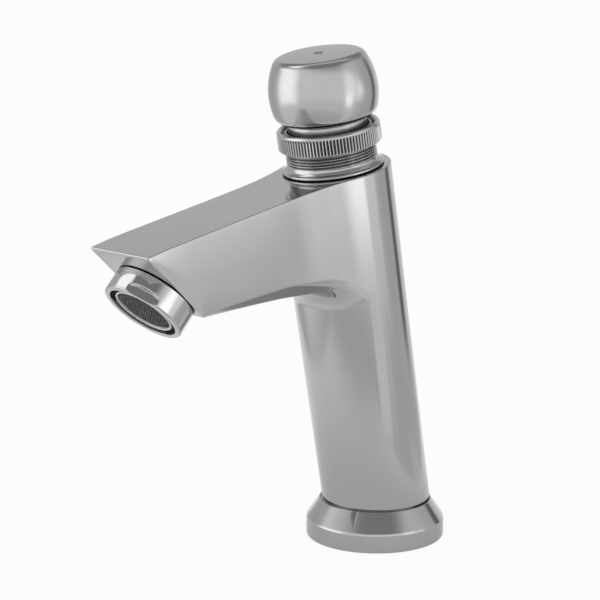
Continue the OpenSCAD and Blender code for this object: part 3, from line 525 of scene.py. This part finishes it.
def flange_profile():
    """Turned ring: recess for the gasket, foot radius, straight rim, soft edge radius, a straight cone up to
    the column, and a narrow groove round the column's foot."""
    groove_r, groove_z = 19.35, 12.6
    t = np.linspace(0.1, 1, 15)[:-1]
    cone = np.stack([FLANGE_R + (CONE_R - FLANGE_R) * t, FLANGE_RIM_H + (CONE_Z - FLANGE_RIM_H) * t], -1)
    rim = filleted([(FLANGE_BORE, RECESS_H, 0), (RECESS_R, RECESS_H, 0.1), (RECESS_R, 0, 0.1), (FLANGE_R, 0, 0.9),
                    (FLANGE_R, FLANGE_RIM_H, 2.4), (*cone[0], 0)], 9)[:-1]
    lip = filleted([(*cone[-1], 0), (CONE_R, CONE_Z, 0.25), (groove_r, groove_z, 0), (FLANGE_BORE, groove_z, 0)], 5)
    return np.concatenate([rim, cone, lip[1:]])


piece("base_flange_skin", [turned(flange_profile(), upright, 200)], CHROME_TURNED, "tap",
      ["base_flange"])


# Valve head

# Where the neck's thread starts
THREAD_Z = BELL_Z + BELL_H - 0.1


def bonnet_profile():
    """Bell: straight rim with rounded edges, then a hollow flare up to the threaded neck, and a bore."""
    rim_h, rim_step = 0.7, 0.2
    t = np.linspace(0, 1, 14)[1:]
    flare_r = NECK_R + (BELL_R - rim_step - NECK_R) * (1 - t) ** 2
    flare = np.stack([flare_r, BELL_Z + rim_h + (BELL_H - rim_h) * t], -1)
    rim = filleted([(NECK_BORE, BELL_Z, 0), (BELL_R, BELL_Z, 0.2), (BELL_R, BELL_Z + rim_h, 0.3),
                    (*flare[0], 0)], 5)
    neck_s = np.linspace(BELL_Z + BELL_H + 0.05, NUT_TOP - 1.1, 156)
    neck = np.stack([np.full(len(neck_s), NECK_R), neck_s], -1)
    inside = np.array([[15.2, NUT_TOP - 0.75], [14.5, NUT_TOP - 0.7], [NECK_BORE, NUT_TOP - 1.1],
                       [NECK_BORE, BELL_Z + 2]])
    return np.concatenate([rim[:-1], flare, neck, inside])


def neck_thread(r, z, a):
    """A helix of grooves on the neck: depth times a sharpened half cosine of (height / pitch - turn)."""
    pitch, depth = 1.0, 0.5
    on = smooth((z - THREAD_Z) / 0.3) * (np.abs(r - NECK_R) < 0.1)
    return r - depth * on * (0.5 - 0.5 * np.cos(TURN * (z / pitch - a / TURN))) ** 0.7


def spigot_profile():
    """Plain shank of the bonnet in the column, which runs a little way into the bell."""
    top = BELL_Z + 0.1
    return filleted([(NECK_BORE, SPIGOT_Z, 0), (SPIGOT_R, SPIGOT_Z, 0.4), (SPIGOT_R, top, 0), (NECK_BORE, top, 0)])


def axis_radius(points):
    """Distance of each point from the leaning axis, and its height along it."""
    y, z = points[:, 1] - SETBACK, points[:, 2] - FLANGE_H
    behind = y * math.cos(LEAN) + z * math.sin(LEAN)
    return np.hypot(points[:, 0], behind), z * math.cos(LEAN) - y * math.sin(LEAN)


def thread_groove_shade(points):
    """Depth below the crests of the neck's thread, as a share, for the painted shade in its grooves; the neck's end
    and bore count as deep, so they get painted shade too.
    """
    r, s = axis_radius(points)
    root_r = NECK_R - 0.55
    thread = smooth((NECK_R - 0.15 - r) / 0.35) * (s > THREAD_Z) * (s < NUT_TOP - 1.2) * (r > root_r)
    return np.maximum(thread, (s > NUT_TOP - 1.25) | (r < NECK_BORE + 0.2))


piece("bonnet_skin",
      [turned(bonnet_profile(), on_axis, 220, wave=neck_thread), turned(spigot_profile(), on_axis, 120)],
      CHROME_WITH_GROOVE_SHADE, "tap", ["bonnet"], thread_groove_shade)


def nut_profile():
    """Ring nut: lower chamfer, ribbed wall, smooth band, rounded rim, sloping mouth and bore."""
    chamfer, mouth = 0.8, 0.9
    corners = [(NUT_BORE, NUT_Z, 0.1), (NUT_R - chamfer, NUT_Z, 0.2), (NUT_R, NUT_Z + chamfer, 0.3),
               (NUT_R, NUT_TOP, 0.9), (NUT_BORE + mouth, NUT_TOP, 0.2), (NUT_BORE, NUT_TOP - mouth, 0.2)]
    return spaced(filleted(corners, 7), 0.35)


def knurl(r, z, a):
    """Ribs: the wall sinks by depth times a flattened cosine of the rib count, and fades at both ends."""
    depth, band = 0.5, 1.15
    on = smooth((z - NUT_Z - 0.5) / 0.5) * smooth((NUT_TOP - band - z) / 0.3) * (r > NUT_R - 0.9)
    return r - depth * on * (0.5 - 0.5 * np.cos(RIBS * a)) ** 0.8


def rib_groove_shade(points):
    """Depth below the ribs' crests, as a share, for the painted shade between them; the nut's own opening counts as
    deep, so it gets painted shade too.
    """
    r, s = axis_radius(points)
    mouth_r = 16.6
    ribs = smooth((NUT_R - 0.12 - r) / 0.3) * (r > NUT_R - 0.7) * (s > NUT_Z + 0.7) * (s < NUT_TOP - 1.1)
    return np.maximum(ribs, 0.95 * smooth((mouth_r - r) / 0.4))


piece("knurled_nut_skin", [turned(nut_profile(), on_axis, RIBS * 12, wave=knurl)], CHROME_WITH_GROOVE_SHADE, "tap",
      ["knurled_nut"], rib_groove_shade)


# Aerator

def shell_profile():
    """Shell: thread in the spout, short neck, straight wall, chamfered rim, mouth and bore."""
    bore, thread_r, neck_r, mouth_r = 8.05, 9.8, 12.4, 12.1
    neck_low, neck_top = 0.02, 0.28
    corners = [(bore, -THREAD_LEN, 0.2), (thread_r, -THREAD_LEN, 0.4), (thread_r, neck_low, 0),
               (neck_r, neck_low, 0.05), (neck_r, neck_top, 0.05), (SHELL_R, neck_top, 0.2),
               (SHELL_R, SHELL_PROUD, 0.75), (mouth_r, SHELL_PROUD, 0.35), (mouth_r, LEDGE_Z, 0.1),
               (bore, LEDGE_Z, 0.1)]
    return spaced(filleted(corners, 7), 0.3)


def spanner_flats(r, z, a):
    """Two flats: the wall is cut back to 13 / |cos(angle from the flat)|, from a bowed start line to the rim."""
    turn, across, start = math.radians(52), 13.0, 4.9
    off = np.abs((a - turn + math.pi / 2) % math.pi - math.pi / 2)
    flat = across / np.cos(np.minimum(off, 1.2))
    bowed = start + 1.3 * (off / 0.41) ** 4
    on = smooth((z - bowed) / 0.3) * (r > 12.6)
    return np.where(flat < r, r - (r - flat) * on, r)


piece("aerator_shell_skin", [turned(shell_profile(), on_face, 360, wave=spanner_flats)], CHROME_TURNED, "tap",
      ["aerator_shell"])


def insert_profile():
    """Thin plastic ring with a stepped barrel behind it."""
    bore, barrel_r, ring_r, rim_r, step_z = 7.2, 8.0, 10.4, 9.75, INSERT_TOP - 1.2
    corners = [(bore, -THREAD_LEN, 0), (barrel_r, -THREAD_LEN, 0.1), (barrel_r, LEDGE_Z, 0), (ring_r, LEDGE_Z, 0.1),
               (ring_r, INSERT_TOP, 0.25), (rim_r, INSERT_TOP, 0.2), (rim_r, step_z, 0.05), (bore, step_z, 0.1)]
    return filleted(corners, 6)


piece("aerator_insert_skin", [turned(insert_profile(), on_face, 160)], PLASTIC, "tap",
      ["aerator_insert"])


def shade_seal_ring(inner, outer, low, high):
    """A plain ring on the aerator's axis, finished in black rubber; its black is painted shade."""
    corners = [(inner, low, 0), (outer, low, 0.1), (outer, high, 0.15), (inner, high, 0.15)]
    return turned(filleted(corners, 4), on_face, 160)


# One ring round the insert, and one in the gap between the shell and the end face: black rubber rings put where the
# mouth and the gap lie in shade, so their black is painted shade there
piece("aerator_shade_seals", [shade_seal_ring(10.35, 12.15, 5.1, 6.3), shade_seal_ring(9.9, 12.9, 0.0, 0.26)], RUBBER, "tap")

SCREEN_PITCH = 0.6


def woven_wire(offset, along_x, order):
    """One wire of the screen: a tube whose middle line rises and falls as a cosine over the crossing wires."""
    reach, wire, sides, level = 9.45, 0.15, 6, INSERT_TOP - 0.75
    end = math.sqrt(reach ** 2 - offset ** 2)
    n = max(6, int(2 * end / SCREEN_PITCH * 4))
    t = np.linspace(-end, end, n)
    over = (1 if order % 2 else -1) * (1 if along_x else -1)
    rise = over * wire * np.cos(math.pi * t / SCREEN_PITCH)
    b = np.arange(sides) * TURN / sides
    side = offset + wire * np.cos(b)[None] + 0 * t[:, None]
    lift = level + rise[:, None] + wire * np.sin(b)[None]
    run = t[:, None] + 0 * b[None]
    points = on_face(run, side, lift) if along_x else on_face(side, run, lift)
    faces = grid_faces(n, sides, False, True)
    cap = np.array([[0, 1, 2, 3], [0, 3, 4, 5]])
    return points.reshape(-1, 3), np.concatenate([faces, cap, cap + (n - 1) * sides])


def screen_shells():
    """Two sets of crossed wires at an even pitch."""
    count = 15
    return [woven_wire(i * SCREEN_PITCH, way, i) for way in (True, False) for i in range(-count, count + 1)]


piece("aerator_screen_skin", screen_shells(), SCREEN_STEEL, "tap", ["aerator_screen"])


# Button and sleeve

def button_profile():
    """Barrel: flat foot, foot radius, bulging side arc, shoulder radius, a low dome with a dimple, and the
    hollow for the sleeve's boss and the nut on the stem."""
    side_r, foot_r, shoulder_r, waist, dome = 25.0, 4.0, 3.2, 9.2, 0.3
    dimple, dimple_r = 0.7, 2.3
    side_x = BUTTON_R - side_r
    foot_x = side_x + math.sqrt((side_r - foot_r) ** 2 - (foot_r - waist) ** 2)
    sh_z = BUTTON_H - dome - shoulder_r
    sh_x = side_x + math.sqrt((side_r - shoulder_r) ** 2 - (sh_z - waist) ** 2)
    foot_a = math.degrees(math.atan2(foot_r - waist, foot_x - side_x))
    sh_a = math.degrees(math.atan2(sh_z - waist, sh_x - side_x))
    side = np.concatenate([arc(foot_x, foot_r, foot_r, -90, foot_a, 14),
                           arc(side_x, waist, side_r, foot_a, sh_a, 60)[1:],
                           arc(sh_x, sh_z, shoulder_r, sh_a, 87, 24)[1:]])
    r = sh_x * np.concatenate([np.linspace(0.97, 0.12, 24), np.linspace(0.11, 0, 14)])
    top = BUTTON_H - dome * (r / sh_x) ** 2 - dimple * (1 - smooth(r / dimple_r))
    hollow = np.array([[8.6, 0.0], [8.6, 5.9], [6.4, 6.0], [6.4, 9.8], [0.0, 9.9]])[::-1]
    whole = np.concatenate([side, np.stack([r, top], -1), hollow])
    return whole + np.array([0, BUTTON_Z])


piece("push_button_skin", [turned(button_profile(), on_axis, 220)], CHROME_BUTTON, "plunger",
      ["push_button"])


def sleeve_profile():
    """Sleeve: thin wall, closed top with a boss, and the hole for the stem."""
    bore, wall_r, boss_r, hole_r = 12.4, 13.8, 8.5, 3.05
    low, ceiling, boss_top = SPIGOT_Z + 10.8, BUTTON_Z - 2.2, BUTTON_Z + 6
    corners = [(bore, low, 0.2), (wall_r, low, 0.4), (wall_r, BUTTON_Z, 0), (boss_r, BUTTON_Z, 0),
               (boss_r, boss_top, 0.3), (hole_r, boss_top, 0.2), (hole_r, ceiling, 0.1), (bore, ceiling, 0.6)]
    return spaced(filleted(corners, 6), 1.5)


piece("plunger_sleeve_skin", [turned(sleeve_profile(), on_axis, 180)], CHROME_SLEEVE, "plunger",
      ["plunger_sleeve"])


def spring_shell():
    """Coil spring: a round wire on a helix. Over the first and last half turns, where the coil is closed, the
    wire climbs slowly, and between them evenly. The ends are cut square."""
    turns, coil_r, wire_r, sides = 6, 8.0, 0.75, 12
    t = np.linspace(0, 1, turns * 40 + 1)
    closed, slow = 0.5 / turns, 0.15
    steady = slow * closed + (t - closed) / (1 - 2 * closed) * (1 - 2 * slow * closed)
    rise = np.where(t < closed, slow * t, np.where(t > 1 - closed, 1 - slow * (1 - t), steady))
    a, b = (TURN * turns * t)[:, None], (np.arange(sides) * TURN / sides)[None]
    r = coil_r + wire_r * np.cos(b)
    s = SPRING_LOW + wire_r + (SPRING_HIGH - SPRING_LOW - 2 * wire_r) * rise[:, None] + wire_r * np.sin(b)
    cap = np.array([[0, k, k + 1, k + 2] for k in range(1, sides - 1, 2)])
    faces = [grid_faces(len(t), sides, False, True), cap, cap + (len(t) - 1) * sides]
    return on_axis(r * np.cos(a), r * np.sin(a), s).reshape(-1, 3), np.concatenate(faces)


spring = piece("return_spring_skin", [spring_shell()], STEEL, "tap", ["return_spring"])
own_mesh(spring)


# Studio

# The camera's bearing as seen from the tap; panels are placed from it, to the right positive
FROM_CAMERA = -44.4
STUDIO_LEVEL = 0.86
PANELS = [
    # bearing, half width, edge, low, edge, high, edge, level
    (0, 55, 30, -18, 10, 30, 10, 1.08),
    (5, 40, 20, 34, 8, 90, 1, 0.34),
    (0, 60, 30, -90, 1, -24, 10, 0.68),
    (0, 180, 0, 46, 10, 90, 1, 0.34),
    (180, 75, 30, 10, 6, 90, 1, 0.70),
    (180, 60, 30, 32, 6, 90, 1, 0.32),
    (-150, 24, 16, -90, 1, 20, 10, 0.62),
    (180, 10, 8, -90, 1, 6, 6, 1.0),
    (-82, 18, 16, -24, 12, 28, 12, 1.85),
    (-100, 16, 12, 46, 5, 64, 5, 2.0),
    (76, 0, 16, -14, 5, 20, 10, 1.2),
    (87, 5, 9, -5, 6, 8, 6, 1.55),
    (87, 5, 12, -40, 6, -14, 5, 0.72),
    (58, 0, 16, -10, 8, 26, 10, 1.5),
    (55, 0, 11, -36, 10, -6, 8, 2.0),
    (114, 2, 32, -30, 8, 24, 14, 0.68),
    (128, 3, 7, -44, 6, 24, 14, 0.2),
    (180, 75, 25, 60, 8, 90, 1, 0.75),
]


def ramp(k, source, low, high):
    """A smooth step of a value from 0 at low to 1 at high."""
    node = k.add("ShaderNodeMapRange", interpolation_type="SMOOTHSTEP")
    node.inputs["From Min"].default_value = low
    node.inputs["From Max"].default_value = high
    k.link(source, node.inputs["Value"])
    return node.outputs["Result"]


def math_node(k, operation, a, b):
    """Two values, either of them a plain number, through one operation."""
    node = k.add("ShaderNodeMath", operation=operation)
    for socket, value in zip(node.inputs, (a, b)):
        if isinstance(value, (int, float)):
            socket.default_value = value
        else:
            k.link(value, socket)
    return node.outputs[0]


def blend(k, share, a, b):
    """A mix of two values, either of them a plain number."""
    node = k.add("ShaderNodeMix", data_type="FLOAT")
    k.link(share, node.inputs[0])
    for socket, value in zip(node.inputs[2:4], (a, b)):
        if isinstance(value, (int, float)):
            socket.default_value = value
        else:
            k.link(value, socket)
    return node.outputs[0]


def dot(k, source, vector):
    """Dot product of a vector with a fixed one."""
    node = k.add("ShaderNodeVectorMath", operation="DOT_PRODUCT")
    node.inputs[1].default_value = vector
    k.link(source, node.inputs[0])
    return node.outputs["Value"]


def studio_tone(k, direction):
    """Level of the studio in a direction: an even grey, then each panel in turn mixes its own level over it
    through a smooth window in bearing and height."""
    flat = k.add("ShaderNodeVectorMath", operation="MULTIPLY")
    flat.inputs[1].default_value = (1, 1, 0)
    level_way = k.add("ShaderNodeVectorMath", operation="NORMALIZE")
    k.link(direction, flat.inputs[0])
    k.link(flat.outputs[0], level_way.inputs[0])
    rise = dot(k, direction, (0, 0, 1))
    sine = lambda d: math.sin(math.radians(d))
    tone = STUDIO_LEVEL
    for bearing, half, edge, low, low_edge, high, high_edge, level in PANELS:
        mask = None
        if low > -90:
            mask = ramp(k, rise, sine(low - low_edge), sine(low + low_edge))
        if high < 90:
            fall = ramp(k, rise, sine(high + high_edge), sine(high - high_edge))
            mask = fall if mask is None else math_node(k, "MULTIPLY", mask, fall)
        if half < 180:
            b = math.radians(FROM_CAMERA + bearing)
            toward = dot(k, level_way.outputs[0], (math.cos(b), math.sin(b), 0))
            wide, narrow = math.radians(min(half + edge, 180)), math.radians(max(half - edge, 0))
            mask = math_node(k, "MULTIPLY", mask, ramp(k, toward, math.cos(wide), math.cos(narrow)))
        tone = blend(k, mask, tone, level)
    return tone


def studio_world():
    """The studio's walls, panels and ceiling, far away all round. A camera sees plain white there."""
    world = bpy.data.worlds.new("studio")
    bpy.context.scene.world = world
    world.use_nodes = True
    k = Nodes(world.node_tree)
    out = k.add("ShaderNodeOutputWorld")
    back = k.add("ShaderNodeBackground")
    coords = k.add("ShaderNodeTexCoord")
    path = k.add("ShaderNodeLightPath")
    shown = blend(k, path.outputs["Is Camera Ray"], studio_tone(k, coords.outputs["Generated"]), 1.0)
    k.link(shown, back.inputs["Color"])
    k.link(back.outputs[0], out.inputs["Surface"])


studio_world()

CAMERA_PLACE = (0.48391, -0.51228, 0.22905)
CAMERA_AZIMUTH, CAMERA_RISE = math.radians(45.59), math.radians(11.42)


def floor_material():
    """A white paper floor. Mirrors and glass see it white in the wedge behind the tap that the camera looks
    along, and outside it with the tone of the studio in the direction in which the tap's middle sees it. A
    share is left to be lit as paper is, which keeps the tap's shadow."""
    mat = bpy.data.materials.new("paper_floor")
    mat.use_nodes = True
    k = Nodes(mat.node_tree)
    out = k.add("ShaderNodeOutputMaterial")
    coords = k.add("ShaderNodeTexCoord")
    place = coords.outputs["Object"]
    from_tap = k.add("ShaderNodeVectorMath", operation="SUBTRACT")
    from_tap.inputs[1].default_value = (0, -0.03, 0.1)
    k.link(place, from_tap.inputs[0])
    way = k.add("ShaderNodeVectorMath", operation="NORMALIZE")
    k.link(from_tap.outputs[0], way.inputs[0])
    darkest, lightest = 0.7, 1.0
    tone = math_node(k, "MINIMUM", studio_tone(k, way.outputs[0]), lightest)
    tone = math_node(k, "MAXIMUM", tone, darkest)
    from_camera = k.add("ShaderNodeVectorMath", operation="SUBTRACT")
    from_camera.inputs[1].default_value = (CAMERA_PLACE[0], CAMERA_PLACE[1], 0)
    k.link(place, from_camera.inputs[0])
    ahead = (-math.sin(CAMERA_AZIMUTH), math.cos(CAMERA_AZIMUTH), 0)
    aside = (math.cos(CAMERA_AZIMUTH), math.sin(CAMERA_AZIMUTH), 0)
    depth = dot(k, from_camera.outputs[0], ahead)
    spread = math_node(k, "DIVIDE", math_node(k, "ABSOLUTE", dot(k, from_camera.outputs[0], aside), 0),
                       math_node(k, "MAXIMUM", depth, 0.01))
    wedge_outer, wedge_inner, near, far = 0.19, 0.155, 0.54, 0.63
    seen = math_node(k, "MULTIPLY", ramp(k, spread, wedge_outer, wedge_inner), ramp(k, depth, near, far))
    path = k.add("ShaderNodeLightPath")
    white = math_node(k, "MAXIMUM", seen, path.outputs["Is Camera Ray"])
    shade = blend(k, white, tone, 1.0)
    glow = k.add("ShaderNodeEmission", Strength=1.0)
    paper = k.add("ShaderNodeBsdfDiffuse")
    k.link(shade, glow.inputs["Color"])
    k.link(shade, paper.inputs["Color"])
    mirrored = math_node(k, "MAXIMUM", path.outputs["Is Glossy Ray"], path.outputs["Is Transmission Ray"])
    # Close to the tap, metal sees more of the paper as it is lit, with the tap's own shadow on it
    from_foot = k.add("ShaderNodeVectorMath", operation="LENGTH")
    k.link(place, from_foot.inputs[0])
    clear_of_foot = ramp(k, from_foot.outputs["Value"], 0.04, 0.15)
    mirrored = math_node(k, "MULTIPLY", mirrored, blend(k, clear_of_foot, 0.35, 1.0))
    direct = math_node(k, "MAXIMUM", path.outputs["Is Camera Ray"], mirrored)
    both = k.add("ShaderNodeMixShader")
    glow_share = 0.93
    k.link(math_node(k, "MULTIPLY", direct, glow_share), both.inputs[0])
    k.link(paper.outputs[0], both.inputs[1])
    k.link(glow.outputs[0], both.inputs[2])
    # Away from the tap and from the wedge the paper fades out into the studio
    gap = k.add("ShaderNodeVectorMath", operation="LENGTH")
    k.link(from_tap.outputs[0], gap.inputs[0])
    there = math_node(k, "MAXIMUM", seen, ramp(k, gap.outputs["Value"], 0.6, 0.3))
    clear = k.add("ShaderNodeBsdfTransparent")
    whole = k.add("ShaderNodeMixShader")
    k.link(there, whole.inputs[0])
    k.link(clear.outputs[0], whole.inputs[1])
    k.link(both.outputs[0], whole.inputs[2])
    k.link(whole.outputs[0], out.inputs["Surface"])
    return mat


floor_mesh = bpy.data.meshes.new("floor")
FAR = 30
floor_mesh.from_pydata([(-FAR, -FAR, 0), (FAR, -FAR, 0), (FAR, FAR, 0), (-FAR, FAR, 0)], [], [(0, 1, 2, 3)])
floor = bpy.data.objects.new("floor", floor_mesh)
bpy.context.scene.collection.objects.link(floor)
floor_mesh.materials.append(floor_material())


def reflector(name, low, high, target, level):
    """A small soft-edged card beside the spout's end, flat across one axis, that only mirrors see. A grid in
    front of it keeps its light to a cone towards the target."""
    axes = [i for i in range(3) if high[i] > low[i]]
    corners = np.array([low] * 4, float)
    corners[1:3, axes[0]], corners[2:4, axes[1]] = high[axes[0]], high[axes[1]]
    mesh = bpy.data.meshes.new(name)
    mesh.from_pydata(corners.tolist(), [], [(0, 1, 2, 3)])
    card = bpy.data.objects.new(name, mesh)
    bpy.context.scene.collection.objects.link(card)
    mat = bpy.data.materials.new(name)
    mat.use_nodes = True
    k = Nodes(mat.node_tree)
    out = k.add("ShaderNodeOutputMaterial")
    coords = k.add("ShaderNodeTexCoord")
    split = k.add("ShaderNodeSeparateXYZ")
    k.link(coords.outputs["Object"], split.inputs[0])
    path = k.add("ShaderNodeLightPath")
    geometry = k.add("ShaderNodeNewGeometry")
    aim = np.array(target) - (np.array(low) + np.array(high)) / 2
    facing = dot(k, geometry.outputs["Incoming"], tuple(float(c) for c in aim / np.linalg.norm(aim)))
    outer, inner = math.radians(42), math.radians(28)
    cone = ramp(k, facing, math.cos(outer), math.cos(inner))
    mask = math_node(k, "MULTIPLY", path.outputs["Is Glossy Ray"], cone)
    for i in axes:
        edge = 0.35 * (high[i] - low[i])
        mask = math_node(k, "MULTIPLY", mask, ramp(k, split.outputs[i], low[i], low[i] + edge))
        mask = math_node(k, "MULTIPLY", mask, ramp(k, split.outputs[i], high[i], high[i] - edge))
    clear = k.add("ShaderNodeBsdfTransparent")
    glow = k.add("ShaderNodeEmission", Strength=level)
    both = k.add("ShaderNodeMixShader")
    k.link(mask, both.inputs[0])
    k.link(clear.outputs[0], both.inputs[1])
    k.link(glow.outputs[0], both.inputs[2])
    k.link(both.outputs[0], out.inputs["Surface"])
    mesh.materials.append(mat)


SPOUT_END = (0, MOUTH_Y * MM, MOUTH_Z * MM)
reflector("card_right", (0.08, -0.124, 0.086), (0.08, -0.068, 0.134), SPOUT_END, 2.2)
reflector("card_left", (-0.28, -0.235, 0.25), (-0.03, -0.105, 0.25), SPOUT_END, 2.0)

camera_data = bpy.data.cameras.new("camera")
camera_data.lens = 120.47
camera_data.sensor_width = 36
camera_data.clip_start = 0.01
camera = bpy.data.objects.new("camera", camera_data)
bpy.context.scene.collection.objects.link(camera)
level = math.cos(CAMERA_RISE)
back = np.array([math.sin(CAMERA_AZIMUTH) * level, -math.cos(CAMERA_AZIMUTH) * level, math.sin(CAMERA_RISE)])
right = np.array([math.cos(CAMERA_AZIMUTH), math.sin(CAMERA_AZIMUTH), 0])
up = np.cross(back, right)
place = Matrix.Identity(4)
for row in range(3):
    place[row][0], place[row][1], place[row][2] = right[row], up[row], back[row]
place.translation = CAMERA_PLACE
camera.matrix_world = place
bpy.context.scene.camera = camera
bpy.context.scene.view_settings.view_transform = "Standard"
